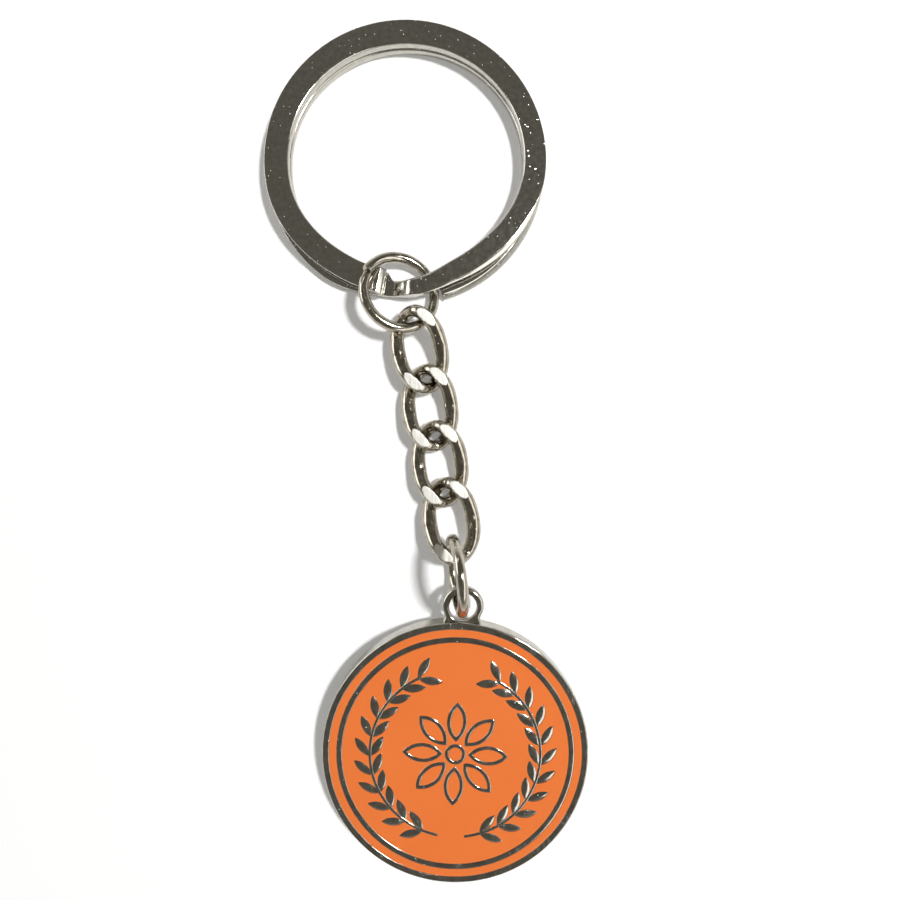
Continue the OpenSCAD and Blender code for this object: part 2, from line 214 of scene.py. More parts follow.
# %% Shared wear of plated metal
cloud_detail, cloud_roughness, cloud_contrast, cloud_shift, cloud_height = 4, 0.6, 2.0, -0.5, 0.25
speck_cells, speck_r, speck_r_spread = 2.0, 0.06, 0.075
hair_turn, hair_stretch, hair_scale, hair_half = 0.9, (2.2, 0.16, 1), 2.2, 0.004
hair_patches, hair_free = 0.35, 0.56
wear = bpy.data.node_groups.new("plating_wear", "ShaderNodeTree")
for label, kind in (("Place", "NodeSocketVector"), ("Cloud size", "NodeSocketFloat"),
                    ("Specks", "NodeSocketFloat"), ("Hairlines", "NodeSocketFloat")):
    wear.interface.new_socket(label, in_out="INPUT", socket_type=kind)
for label in ("Cloud", "Speck", "Hairline", "Height"):
    wear.interface.new_socket(label, in_out="OUTPUT", socket_type="NodeSocketFloat")
inside = wear.nodes.new("NodeGroupInput")
scaled = wear.nodes.new("ShaderNodeVectorMath")
scaled.operation = "SCALE"
scaled.inputs["Scale"].default_value = 1 / mm
wear.links.new(inside.outputs["Place"], scaled.inputs[0])
in_mm = scaled.outputs[0]
cloud = noise(wear, in_mm, link_math(wear, "DIVIDE", 1.0, inside.outputs["Cloud size"]),
              cloud_detail, cloud_roughness)
spread = link_math(wear, "MULTIPLY_ADD", cloud, cloud_contrast, cloud_shift)
patchy = link_math(wear, "MINIMUM", link_math(wear, "MAXIMUM", spread, 0.0), 1.0)
cells = wear.nodes.new("ShaderNodeTexVoronoi")
cells.inputs["Scale"].default_value = speck_cells
wear.links.new(in_mm, cells.inputs["Vector"])
pick = wear.nodes.new("ShaderNodeSeparateColor")
wear.links.new(cells.outputs["Color"], pick.inputs[0])
chosen = link_math(wear, "LESS_THAN", pick.outputs[0], inside.outputs["Specks"])
size = link_math(wear, "MULTIPLY_ADD", pick.outputs[1], speck_r_spread, speck_r)
speck = link_math(wear, "MULTIPLY", chosen,
                  link_math(wear, "LESS_THAN", cells.outputs["Distance"], size))
print("clouds and specks:", len(wear.nodes), "nodes")

# %% Hairlines and outputs of the wear group
combed = noise(wear, stretched(wear, in_mm, hair_turn, hair_stretch), hair_scale, 1)
off_line = link_math(wear, "ABSOLUTE", link_math(wear, "SUBTRACT", combed, 0.5))
thin = link_math(wear, "LESS_THAN", off_line, hair_half)
in_patch = link_math(wear, "GREATER_THAN", noise(wear, in_mm, hair_patches), hair_free)
hairline = link_math(wear, "MULTIPLY", link_math(wear, "MULTIPLY", thin, in_patch),
                     inside.outputs["Hairlines"])
height = link_math(wear, "SUBTRACT", link_math(wear, "MULTIPLY", cloud, cloud_height),
                   link_math(wear, "ADD", hairline, speck))
result = wear.nodes.new("NodeGroupOutput")
for label, value in (("Cloud", patchy), ("Speck", speck), ("Hairline", hairline),
                     ("Height", height)):
    wear.links.new(value, result.inputs[label])
print("wear group:", [s.name for s in wear.interface.items_tree])

# %% [markdown]
# Nickel plate is a metal with a slightly warm grey. The key ring's plate reads brightest of the
# four in its own colour, but its flat face mirrors the dim ceiling, so it looks dark. All four
# read the wear group: clouds change the colour and the roughness, specks are pale and rough, and
# hairlines are a shallow bump. The links also have ground flats, which the mesh marks, and there
# the metal is pale and combed by the wheel.

# %% Mixing colours and raising a surface
def mix_colour(tree, amount, first, second):
    """A blend of two colours, each a tuple or a socket."""
    mix = tree.nodes.new("ShaderNodeMix")
    mix.data_type = "RGBA"
    tree.links.new(amount, mix.inputs["Factor"])
    for socket, value in ((mix.inputs[6], first), (mix.inputs[7], second)):
        if isinstance(value, tuple):
            socket.default_value = value
        else:
            tree.links.new(value, socket)
    return mix.outputs[2]


def add_bump(tree, shader, height, depth, strength=1):
    """Turns a height of 0 to 1 into a bump; depth is in millimetres."""
    bump = tree.nodes.new("ShaderNodeBump")
    bump.inputs["Strength"].default_value = strength
    bump.inputs["Distance"].default_value = depth * mm
    tree.links.new(height, bump.inputs["Height"])
    tree.links.new(bump.outputs[0], shader.inputs["Normal"])


print("colour and bump helpers ready")

# %% Ground flats on a metal
comb_turn, comb_stretch, comb_detail = 1.1, (9000, 700, 1000), 3
flat_dull, flat_bright = (0.7, 0.67, 0.6, 1), (1.0, 0.99, 0.95, 1)
flat_rough, flat_rough_spread = 0.38, 0.2


def grind_flats(tree, place, colour, roughness, height):
    """Changes colour, roughness and height where the mesh carries the mark "ground"."""
    mark = tree.nodes.new("ShaderNodeAttribute")
    mark.attribute_name = "ground"
    ground = mark.outputs["Fac"]
    comb = noise(tree, stretched(tree, place, comb_turn, comb_stretch), 1, comb_detail)
    colour = mix_colour(tree, ground, colour, mix_colour(tree, comb, flat_dull, flat_bright))
    combed_rough = link_math(tree, "MULTIPLY_ADD", comb, flat_rough_spread, flat_rough)
    extra = link_math(tree, "SUBTRACT", combed_rough, roughness)
    roughness = link_math(tree, "MULTIPLY_ADD", ground, extra, roughness)
    height = link_math(tree, "ADD", height, link_math(tree, "MULTIPLY", comb, ground))
    return colour, roughness, height


print("comb of the wheel runs at %.0f degrees" % math.degrees(comb_turn))

# %% Nickel plate
speck_colour, speck_rough, cloud_rough = (0.93, 0.91, 0.86, 1), 0.4, 0.12


def nickel(name, deep, pale, rough, cloud_size, specks, hairlines, depth, flats=False):
    """Plated metal: cloud_size and depth in millimetres, specks and hairlines from 0 to 1."""
    material = bpy.data.materials.new(name)
    material.use_nodes = True
    tree = material.node_tree
    shader = tree.nodes["Principled BSDF"]
    shader.inputs["Metallic"].default_value = 1
    place = tree.nodes.new("ShaderNodeTexCoord").outputs["Object"]
    use = tree.nodes.new("ShaderNodeGroup")
    use.node_tree = wear
    tree.links.new(place, use.inputs["Place"])
    for label, value in (("Cloud size", cloud_size), ("Specks", specks), ("Hairlines", hairlines)):
        use.inputs[label].default_value = value
    colour = mix_colour(tree, use.outputs["Cloud"], (*deep, 1), (*pale, 1))
    colour = mix_colour(tree, use.outputs["Speck"], colour, speck_colour)
    roughness = link_math(tree, "MULTIPLY_ADD", use.outputs["Cloud"], cloud_rough,
                          rough - cloud_rough / 2)
    roughness = link_math(tree, "MULTIPLY_ADD", use.outputs["Speck"], speck_rough, roughness)
    height = use.outputs["Height"]
    if flats:
        colour, roughness, height = grind_flats(tree, place, colour, roughness, height)
    add_bump(tree, shader, height, depth)
    tree.links.new(colour, shader.inputs["Base Color"])
    tree.links.new(roughness, shader.inputs["Roughness"])
    return material


print("nickel plate ready")

# %% Four nickel finishes
dark_nickel = nickel("dark_nickel", deep=(0.47, 0.45, 0.40), pale=(0.60, 0.58, 0.53), rough=0.13,
                     cloud_size=0.5, specks=0.7, hairlines=0.3, depth=0.003)
wire_nickel = nickel("wire_nickel", deep=(0.30, 0.27, 0.215), pale=(0.56, 0.52, 0.44), rough=0.13,
                     cloud_size=0.8, specks=0.3, hairlines=0.4, depth=0.014)
link_nickel = nickel("link_nickel", deep=(0.28, 0.25, 0.195), pale=(0.54, 0.50, 0.42), rough=0.13,
                     cloud_size=0.8, specks=0.2, hairlines=0.4, depth=0.018, flats=True)
medal_nickel = nickel("medal_nickel", deep=(0.34, 0.32, 0.27), pale=(0.54, 0.52, 0.46), rough=0.15,
                      cloud_size=0.9, specks=0.15, hairlines=0.4, depth=0.006)
print("metals:", [m.name for m in bpy.data.materials if "nickel" in m.name])

# %% [markdown]
# Hard enamel is ground glass, fired and polished level. It is one even orange with a glossy
# skin, very slightly mottled, with a trace of ripple left by the polishing. A low noise in the
# colour and a shallow bump are enough; the gloss itself is set on the shader.

# %% Orange enamel
deep_orange, pale_orange = (0.91, 0.208, 0.043, 1), (0.97, 0.234, 0.052, 1)
mottle_scale, mottle_detail, glaze_rough, glaze_rough_spread = 170, 3, 0.14, 0.08
ripple_scale, ripple_depth, ripple_strength = 420, 0.01, 0.6
gloss, gloss_rough = 0.4, 0.06
enamel = bpy.data.materials.new("orange_hard_enamel")
enamel.use_nodes = True
tree = enamel.node_tree
shader = tree.nodes["Principled BSDF"]
place = tree.nodes.new("ShaderNodeTexCoord").outputs["Object"]
mottle = noise(tree, place, mottle_scale, mottle_detail)
tree.links.new(mix_colour(tree, mottle, deep_orange, pale_orange), shader.inputs["Base Color"])
tree.links.new(link_math(tree, "MULTIPLY_ADD", mottle, glaze_rough_spread, glaze_rough),
               shader.inputs["Roughness"])
add_bump(tree, shader, noise(tree, place, ripple_scale), ripple_depth, ripple_strength)
shader.inputs["Coat Weight"].default_value = gloss
shader.inputs["Coat Roughness"].default_value = gloss_rough
enamel_nodes = [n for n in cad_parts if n.startswith("enamel")]
for name in enamel_nodes:
    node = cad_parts[name]
    node.data.materials.clear()
    node.data.materials.append(enamel)
print("enamel on", enamel_nodes)

# %% [markdown]
# Next come small tools for Geometry Nodes. A tree is built once with named inputs, then run
# for each part with its own sizes. The result is read off as a plain mesh and the host object
# is thrown away, so what stays in the file is a mesh with its place inside it.

# %% Building a tree
def new_tree(name, inputs):
    """An empty tree with named inputs, each a label and a kind of socket."""
    tree = bpy.data.node_groups.new(name, "GeometryNodeTree")
    for label, kind in inputs:
        tree.interface.new_socket(label, in_out="INPUT", socket_type="NodeSocket" + kind)
    tree.interface.new_socket("Geometry", in_out="OUTPUT", socket_type="NodeSocketGeometry")
    return tree, tree.nodes.new("NodeGroupInput")


def geo(tree, kind, inputs=(), **settings):
    """Adds a node, fills its inputs with numbers or sockets and gives its first output."""
    step = tree.nodes.new(kind)
    for name, value in settings.items():
        setattr(step, name, value)
    for socket, value in dict(inputs).items():
        if isinstance(value, bpy.types.NodeSocket):
            tree.links.new(value, step.inputs[socket])
        else:
            step.inputs[socket].default_value = value
    return step.outputs[0]


def finish_tree(tree, inside, shape):
    """Ends a tree: smooth shading, real copies instead of instances, and the finish."""
    smooth = geo(tree, "GeometryNodeSetShadeSmooth", {0: shape})
    whole = geo(tree, "GeometryNodeRealizeInstances", {0: smooth})
    dressed = geo(tree, "GeometryNodeSetMaterial", {0: whole, "Material": inside.outputs["Finish"]})
    tree.links.new(dressed, tree.nodes.new("NodeGroupOutput").inputs[0])


print("tree tools ready")

# %% Maths and marks in a tree
def maths(tree):
    """A short way to write math steps in this tree."""
    def step(operation, a, b=0.0):
        return geo(tree, "ShaderNodeMath", {0: a, 1: b}, operation=operation)
    return step


def round_spot(tree, reach, angle, height):
    """A place from its distance to the Z axis, its angle and its height."""
    m = maths(tree)
    return geo(tree, "ShaderNodeCombineXYZ", {0: m("MULTIPLY", reach, m("COSINE", angle)),
                                              1: m("MULTIPLY", reach, m("SINE", angle)),
                                              2: height})


def read_mark(tree, name, kind="FLOAT"):
    """A named attribute, such as the outer radius that a line of points carries."""
    return geo(tree, "GeometryNodeInputNamedAttribute", {"Name": name}, data_type=kind)


print("maths and marks ready")

# %% Running a tree
def grow(name, tree, values, start=None):
    """Runs a tree on a host object and keeps only the plain mesh that comes out."""
    host = bpy.data.objects.new(name, start or bpy.data.meshes.new(name + "_start"))
    scene.collection.objects.link(host)
    modifier = host.modifiers.new("grow", "NODES")
    modifier.node_group = tree
    for item in tree.interface.items_tree:
        if item.in_out == "INPUT" and item.name in values:
            modifier[item.identifier] = values[item.name]
    graph = bpy.context.evaluated_depsgraph_get()
    mesh = bpy.data.meshes.new_from_object(host.evaluated_get(graph), depsgraph=graph,
                                           preserve_all_data_layers=True)
    mesh.name = name
    bpy.data.objects.remove(host)
    return mesh


print("run tool ready")

# %% [markdown]
# A finished mesh must face outwards. The sign of a closed shell's volume tells which way its
# faces look, so the same sum gives both the check and the volume that is printed. Edges sharper
# than 50 degrees stay crisp. Then the piece rides on its body and replaces its CAD solid.

# %% Placing a mesh
sharp_edge = math.radians(50)


def close_right_way(mesh):
    """Turns the faces of a closed mesh outwards and gives its volume in cubic millimetres."""
    points = np.array([v.co[:] for v in mesh.vertices])
    volume = 0.0
    for face in mesh.polygons:
        corner = points[list(face.vertices)]
        for k in range(1, len(corner) - 1):
            volume += np.dot(corner[0], np.cross(corner[k], corner[k + 1]))
    if volume < 0:
        mesh.flip_normals()
    mesh.set_sharp_from_angle(angle=sharp_edge)
    mesh.update()
    return abs(volume) / 6 / mm ** 3


def put_in_place(name, mesh, body, node):
    volume = close_right_way(mesh)
    shape = bpy.data.objects.new(name, mesh)
    scene.collection.objects.link(shape)
    points = np.array([v.co[:] for v in mesh.vertices])
    cad_low, cad_high = np.array(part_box(node))
    off = max(np.abs(points.min(0) - cad_low).max(), np.abs(points.max(0) - cad_high).max())
    print("%s: %d faces, %.1f mm3, box off by %.3f mm" % (
        name, len(mesh.polygons), volume, off / mm))
    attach(shape, body)
    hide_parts(node)


print("placing tools ready")

# %% [markdown]
# ## Split key ring
# A split ring is one flat strip wound twice, flattened to a step where it climbs from the lower
# turn to the upper one. The rule gives, for each angle, the outer and inner edge and the lower
# and upper face. A plain line of points carries these four numbers as marks, and the section
# carries how far each of its points stands in from the nearest edge. The tree sweeps one along
# the other and bends the bar, so the rounded corners keep their size however the bar changes.

# %% Sizes of the strip
ring_r, strip_w, strip_t, turn_gap = 15.0, 2.64, 0.92, 0.1
strip_taper, taper_at, taper_power, start_nip, nip_span = 0.25, 18, 6, 0.15, 20
wire_r, wire_room = 0.55, 0.12
near_gap = 2 * wire_r + wire_room - strip_t
crimp_from, crimp_angle, crimp_w = 263 + 360, 16.5, 1.8
crimp_to = crimp_from + crimp_angle
lag_share, climb_share = 0.3, 0.7
crimp_draw, draw_before, draw_span = 0.72, 31, 32
turn_bow, bow_after, bow_span, settle_after, settle_span = 0.4, 11, 22, 22, 75
neck_from, neck, neck_span = crimp_from - 2.8, crimp_from + 1.4, 55
end_draw, end_draw_before, end_draw_span = 0.72, 70, 52
end_flare, flare_span, end_slope, end_tip = 0.2, 8, 2.6, 0.46
room_angle, room_at_r = 6, 13.8
start_room = room_angle * room_at_r / (ring_r - strip_w / 2)
strip_from = crimp_to + start_room - 360
strip_to = crimp_from - 3 + 360
print("strip from %.1f to %.1f degrees" % (strip_from, strip_to))

# %% Rule of the wound strip
def ease(u):
    u = np.clip(u, 0, 1)
    return u * u * (3 - 2 * u)


def strip_rule(a):
    """Outer and inner radius, floor and top height of the strip at angles a in degrees."""
    climb = climb_share * crimp_angle
    rise = strip_t + turn_gap + (near_gap - turn_gap) * (1 - np.sin(np.radians(a))) / 2
    floor_z = rise * ease((a - crimp_from - lag_share * crimp_angle) / climb)
    top_z = strip_t + rise * ease((a - crimp_from) / climb)
    top_z = top_z - (strip_t - end_tip) * np.clip((a - strip_to + end_slope) / end_slope, 0, 1)
    draw = (crimp_draw * ease((a - crimp_from + draw_before) / draw_span)
            + turn_bow * ease((a - crimp_from - bow_after) / bow_span))
    draw = draw * (1 - ease((a - crimp_from - settle_after) / settle_span))
    draw = draw + end_draw * ease((a - strip_to + end_draw_before) / end_draw_span)
    side = (strip_taper * ((1 + np.cos(np.radians(a - taper_at))) / 2) ** taper_power
            + start_nip * (1 - ease((a - strip_from) / nip_span)))
    flare = end_flare * ease((a - strip_to + flare_span) / flare_span)
    pinch = ease((a - neck_from) / (neck - neck_from)) * (1 - ease((a - neck) / neck_span))
    width = strip_w - side - (strip_w - side - crimp_w) * pinch + flare
    outer = ring_r - draw + flare / 2
    return outer, outer - width, floor_z, top_z


print("at the crimp:", [round(float(v), 2) for v in strip_rule(crimp_from)])

# %% Line of points
coarse, fine, end_r = 1.3, 0.3, 0.1
degree = math.degrees(1 / (ring_r - strip_w / 2))
near_end = [0.0, 0.01, 0.03, 0.06, 0.1]
stations = np.concatenate([
    strip_from + degree * np.array(near_end),
    np.arange(strip_from + coarse, neck_from - 1, coarse),
    np.arange(neck_from - 0.6, crimp_to + 4, fine),
    np.arange(crimp_to + 5, strip_to - 9, coarse),
    np.arange(strip_to - 8.4, strip_to - 2.9, 0.6),
    strip_to - end_slope + np.array([-0.08, 0, 0.08]),
    np.arange(strip_to - 2.2, strip_to - 0.7, 0.5),
    strip_to - degree * np.array(near_end[::-1])])
outer, inner, floor_z, top_z = strip_rule(stations)
from_end = np.minimum(stations - strip_from, strip_to - stations) / degree
inset = end_r - np.sqrt(np.maximum(0, end_r ** 2 - np.maximum(0, end_r - from_end) ** 2))
roll_more, roll_in, roll_out = 0.5, 4, 12
roll = 1 + roll_more * ease((stations - neck_from) / roll_in) * (
    1 - ease((stations - crimp_to) / roll_out))
press_after, press_stay, press_span, start_stay, start_span = 10, 66, 22, 68, 20
press = ease((stations - crimp_from - press_after) / press_span)
press = press * (1 - ease((stations - crimp_from - press_stay) / press_span))
start = 1 - ease((stations - strip_from - start_stay) / start_span)
line = bpy.data.meshes.new("strip_line")
line.from_pydata([(i * mm, 0, 0) for i in range(len(stations))],
                 [(i, i + 1) for i in range(len(stations) - 1)], [])


def add_mark(mesh, name, values):
    mark = mesh.attributes.new(name, "FLOAT", "POINT")
    mark.data.foreach_set("value", np.asarray(values, dtype=np.float32))


for label, values in (("angle", np.radians(stations)), ("outer", (outer - inset) * mm),
                      ("inner", (inner + inset) * mm), ("floor", (floor_z + inset) * mm),
                      ("top", (top_z - inset) * mm), ("squeeze", (top_z - floor_z) / strip_t),
                      ("roll", roll), ("press", press), ("start", start)):
    add_mark(line, label, values)
print(len(stations), "stations")

# %% [markdown]
# The section is a rounded bar. Its outer upper edge isn't the same all the way: on most of the
# ring it is a plain small rounding, behind the crimp a tool has pressed a slope on it, and the
# first part of the lower turn has a wider slope from the clipping of the strip. Each edge is a
# list of twelve points, how far in from the side and how far below the top. The bar carries the
# plain edge and, as more marks, what each slope adds to it, so the line can blend them.

# %% Section of the bar
past_corner, tiny = 1.1, 1e-9


def bar_section(near_r, far_r, tall_r, steps):
    """Marks of a rounded bar: side 0 to 1, stand-in from the side, height 0 to 1, stand-in."""
    marks = []
    for side, high, start in ((1, 0, -90), (1, 1, 0), (0, 1, 90), (0, 0, 180)):
        wide_r = far_r if side else near_r
        turn = [math.radians(start + 90 * k / steps) for k in range(steps + 1)]
        corner = [(side, wide_r * (1 - abs(math.cos(t))), high, tall_r * (1 - abs(math.sin(t))))
                  for t in turn]
        first, last = list(corner[0]), list(corner[-1])
        for end in (first, last):
            if end[3] < tiny:
                end[1] = wide_r * past_corner
            else:
                end[3] = tall_r * past_corner
        marks += [tuple(first)] + corner + [tuple(last)]
    return marks


corner_steps, lower_share, edge_r, edge_tall = 7, 0.4, 0.1, 0.14
corner_points = corner_steps + 3
quarter_turn = [math.radians(10 * k) for k in range(10)]
plain_edge = ([(0, 0.16)] + [(edge_r * (1 - math.cos(t)), edge_tall * (1 - math.sin(t)))
                             for t in quarter_turn] + [(0.12, 0)])
sloped_edges = {
    "press": [(0, 0.36), (0, 0.29), (0.003, 0.255), (0.012, 0.232), (0.03, 0.214), (0.12, 0.162),
              (0.21, 0.11), (0.29, 0.064), (0.33, 0.044), (0.38, 0.02), (0.44, 0.005), (0.52, 0)],
    "start": [(0, 0.66), (0, 0.6), (0.015, 0.55), (0.05, 0.505), (0.17, 0.385), (0.29, 0.262),
              (0.33, 0.224), (0.45, 0.117), (0.55, 0.028), (0.59, 0.009), (0.64, 0.001), (0.72, 0)]}
marks = bar_section(near_r=0.24, far_r=0.2, tall_r=0.4, steps=corner_steps)
lower_corner = [(side, side_in, high, lower_share * high_in)
                for side, side_in, high, high_in in marks[:corner_points]]
marks = (lower_corner + [(1, side_in, 1, high_in) for side_in, high_in in plain_edge]
         + marks[2 * corner_points:])
print(len(marks), "points round the bar")

# %% Mesh of the section
around = [2 * math.pi * k / len(marks) for k in range(len(marks))]
section_mesh = bpy.data.meshes.new("strip_section")
section_mesh.from_pydata([(math.cos(a) * mm, math.sin(a) * mm, 0) for a in around],
                         [(k, (k + 1) % len(marks)) for k in range(len(marks))], [])
for k, label in enumerate(("side", "side_in", "high", "high_in")):
    values = np.array([m[k] for m in marks], dtype=np.float32)
    add_mark(section_mesh, label, values * mm if k % 2 else values)
for slope, edge in sloped_edges.items():
    for k, label in enumerate(("side_in", "high_in")):
        more = np.zeros(len(marks), dtype=np.float32)
        more[corner_points:corner_points + len(edge)] = [
            point[k] - plain[k] for point, plain in zip(edge, plain_edge)]
        add_mark(section_mesh, slope + "_" + label, more * mm)
section = bpy.data.objects.new("strip_section", section_mesh)
scene.collection.objects.link(section)
print("section marks:", [a.name for a in section_mesh.attributes if a.data_type == "FLOAT"])

# %% Wind the strip
tree, inside = new_tree("wound_strip", [("Line", "Geometry"), ("Section", "Object"),
                                        ("Finish", "Material")])
m = maths(tree)
path_curve = geo(tree, "GeometryNodeMeshToCurve", {0: inside.outputs["Line"]})
info = tree.nodes.new("GeometryNodeObjectInfo")
tree.links.new(inside.outputs["Section"], info.inputs["Object"])
round_curve = geo(tree, "GeometryNodeMeshToCurve", {0: info.outputs["Geometry"]})
bar = geo(tree, "GeometryNodeCurveToMesh", {"Curve": path_curve, "Profile Curve": round_curve,
                                            "Fill Caps": True})
stand = {}
for label in ("side_in", "high_in"):
    stand[label] = read_mark(tree, label)
    for slope in sloped_edges:
        more = m("MULTIPLY", read_mark(tree, slope), read_mark(tree, slope + "_" + label))
        stand[label] = m("ADD", stand[label], more)
side_in = m("MULTIPLY", stand["side_in"], read_mark(tree, "roll"))
high_in = m("MULTIPLY", stand["high_in"], read_mark(tree, "squeeze"))
at_inner = m("ADD", read_mark(tree, "inner"), side_in)
at_outer = m("SUBTRACT", read_mark(tree, "outer"), side_in)
reach = m("ADD", at_inner, m("MULTIPLY", read_mark(tree, "side"),
                             m("SUBTRACT", at_outer, at_inner)))
at_floor = m("ADD", read_mark(tree, "floor"), high_in)
at_top = m("SUBTRACT", read_mark(tree, "top"), high_in)
level = m("ADD", at_floor, m("MULTIPLY", read_mark(tree, "high"),
                             m("SUBTRACT", at_top, at_floor)))
wound = geo(tree, "GeometryNodeSetPosition", {
    0: bar, "Position": round_spot(tree, reach, read_mark(tree, "angle"), level)})
finish_tree(tree, inside, wound)
ring_mesh = grow("key_ring_strip", tree, {"Section": section, "Finish": dark_nickel}, line)
bpy.data.objects.remove(section)
put_in_place("key_ring_strip", ring_mesh, "split_ring", "split_ring")

# %% [markdown]
# ## Jump rings
# A jump ring is round wire wound on a rod and sawn off, so its two ends meet at a fine cut and
# never quite line up. A torus would have no cut. A row of points bent to a circle, closer
# together near the ends, is swept with a circle instead, and the sweep is pinched at both ends
# to break their edges. The ends are sprung apart by a hair sideways and outwards.

# %% Jump ring path
tree, inside = new_tree("sawn_ring", [
    ("Ring radius", "Float"), ("Wire radius", "Float"), ("Cut at", "Float"), ("Cut width", "Float"),
    ("Spring", "Float"), ("End round", "Float"), ("Points", "Int"), ("Sides", "Int"),
    ("Finish", "Material")])
m = maths(tree)
crowding, spring_power, outward_share = 0.975, 9.0, 0.6
ring_radius, wire_radius = inside.outputs["Ring radius"], inside.outputs["Wire radius"]
end_round = inside.outputs["End round"]
row = geo(tree, "GeometryNodeMeshLine", {"Count": inside.outputs["Points"]})
row = geo(tree, "GeometryNodeMeshToCurve", {0: row})
share = m("DIVIDE", geo(tree, "GeometryNodeInputIndex"), m("SUBTRACT", inside.outputs["Points"], 1))
wave = m("SINE", m("MULTIPLY", share, 2 * math.pi))
share = m("SUBTRACT", share, m("MULTIPLY", wave, crowding / (2 * math.pi)))
cut_angle = m("DIVIDE", inside.outputs["Cut width"], ring_radius)
sweep = m("SUBTRACT", 2 * math.pi, cut_angle)
angle = m("ADD", m("MULTIPLY", share, sweep),
          m("ADD", inside.outputs["Cut at"], m("MULTIPLY", cut_angle, 0.5)))
swing = m("SUBTRACT", m("MULTIPLY", share, 2.0), 1.0)
swing = m("MULTIPLY", m("POWER", m("ABSOLUTE", swing), spring_power), m("SIGN", swing))
spring = m("MULTIPLY", swing, inside.outputs["Spring"])
reach = m("ADD", ring_radius, m("MULTIPLY", spring, outward_share))
path_curve = geo(tree, "GeometryNodeSetPosition", {
    0: row, "Position": round_spot(tree, reach, angle, spring)})
print("path of the sawn ring:", len(tree.nodes), "nodes")

# %% Jump ring sweep
to_end = m("MULTIPLY", m("MINIMUM", share, m("SUBTRACT", 1.0, share)),
           m("MULTIPLY", sweep, ring_radius))
short = m("MAXIMUM", m("SUBTRACT", end_round, to_end), 0.0)
left = m("SUBTRACT", m("MULTIPLY", end_round, end_round), m("MULTIPLY", short, short))
pinch = m("SUBTRACT", end_round, m("SQRT", m("MAXIMUM", left, 0.0)))
scale = m("SUBTRACT", 1.0, m("DIVIDE", pinch, wire_radius))
wire = geo(tree, "GeometryNodeCurvePrimitiveCircle", {"Resolution": inside.outputs["Sides"],
                                                      "Radius": wire_radius})
swept = geo(tree, "GeometryNodeCurveToMesh", {"Curve": path_curve, "Profile Curve": wire,
                                              "Scale": scale, "Fill Caps": True})
finish_tree(tree, inside, swept)
sawn_ring = tree
print("sawn ring tree:", len(tree.nodes), "nodes")

# %% Two jump rings
def place_of(turns, centre):
    """Turns about the named axes in degrees, one after another, then a move in millimetres."""
    turn = Matrix.Identity(4)
    for axis, degrees in turns:
        turn = turn @ Matrix.Rotation(math.radians(degrees), 4, axis)
    return Matrix.Translation(Vector(centre) * mm) @ turn


for name, node, radius, cut_at, spring_out, turns, centre in (
        ("upper_jump_ring", "jump_ring_top", 3.9, 143, 0.22,
         (("Z", 10.9), ("X", -3.5), ("Y", 22.4)), (-0.56664, -14.08515, 2.07239)),
        ("lower_jump_ring", "jump_ring_bottom", 3.7, 30, 0.03,
         (("Z", 6.6), ("Y", 97)), (5.46161, -43.53770, 4.24242))):
    mesh = grow(name, sawn_ring, {
        "Ring radius": radius * mm, "Wire radius": wire_r * mm, "Cut at": math.radians(cut_at),
        "Cut width": 0.06 * mm, "Spring": spring_out * mm, "End round": 0.13 * mm,
        "Points": 260, "Sides": 36, "Finish": wire_nickel})
    mesh.transform(place_of(turns, centre))
    put_in_place(name, mesh, node, node)

# %% [markdown]
# ## Curb links
# A curb link starts as an oval of round wire. Each end is twisted out of the middle plane, so
# that neighbours lie flat, its sides are pressed a little wider, and a wheel grinds a small flat
# on every high spot. The first part of the tree bends a circle to the squarish oval, twists it
# and leaves marks on it: where the middle of the wire was, which way it ran, how hard it is
# pressed. A shallow groove shows where the wire was soldered.

# %% Curb link oval
tree, inside = new_tree("curb_link", [
    ("Half length", "Float"), ("Half width", "Float"), ("Wire radius", "Float"),
    ("Twist", "Float"), ("Gather", "Float"), ("Press", "Float"), ("Squareness", "Float"),
    ("Half thickness", "Float"), ("Seam at", "Float"), ("Seam depth", "Float"),
    ("Points", "Int"), ("Sides", "Int"), ("Finish", "Material")])
m = maths(tree)
seam_angle = 0.022


def squarish(value):
    """A sine or cosine blown up so that the oval gets fuller corners."""
    power = m("DIVIDE", 2.0, inside.outputs["Squareness"])
    return m("MULTIPLY", m("SIGN", value), m("POWER", m("ABSOLUTE", value), power))


turn = m("MULTIPLY", m("DIVIDE", geo(tree, "GeometryNodeInputIndex"), inside.outputs["Points"]),
         2 * math.pi)
up = squarish(m("SINE", turn))
out_x = m("MULTIPLY", inside.outputs["Half width"], squarish(m("COSINE", turn)))
gathered = m("MULTIPLY", m("SIGN", up), m("POWER", m("ABSOLUTE", up), inside.outputs["Gather"]))
twist = m("MULTIPLY", inside.outputs["Twist"], gathered)
spot = geo(tree, "ShaderNodeCombineXYZ", {0: m("MULTIPLY", out_x, m("COSINE", twist)),
                                          1: m("MULTIPLY", inside.outputs["Half length"], up),
                                          2: m("MULTIPLY", out_x, m("SINE", twist))})
oval = geo(tree, "GeometryNodeCurvePrimitiveCircle", {"Resolution": inside.outputs["Points"],
                                                      "Radius": 1.0})
oval = geo(tree, "GeometryNodeSetPosition", {0: oval, "Position": spot})
print("oval:", len(tree.nodes), "nodes")

# %% Curb link wire
def store_mark(shape, name, value, kind="FLOAT"):
    return geo(tree, "GeometryNodeStoreNamedAttribute", {0: shape, "Name": name, "Value": value},
               data_type=kind)


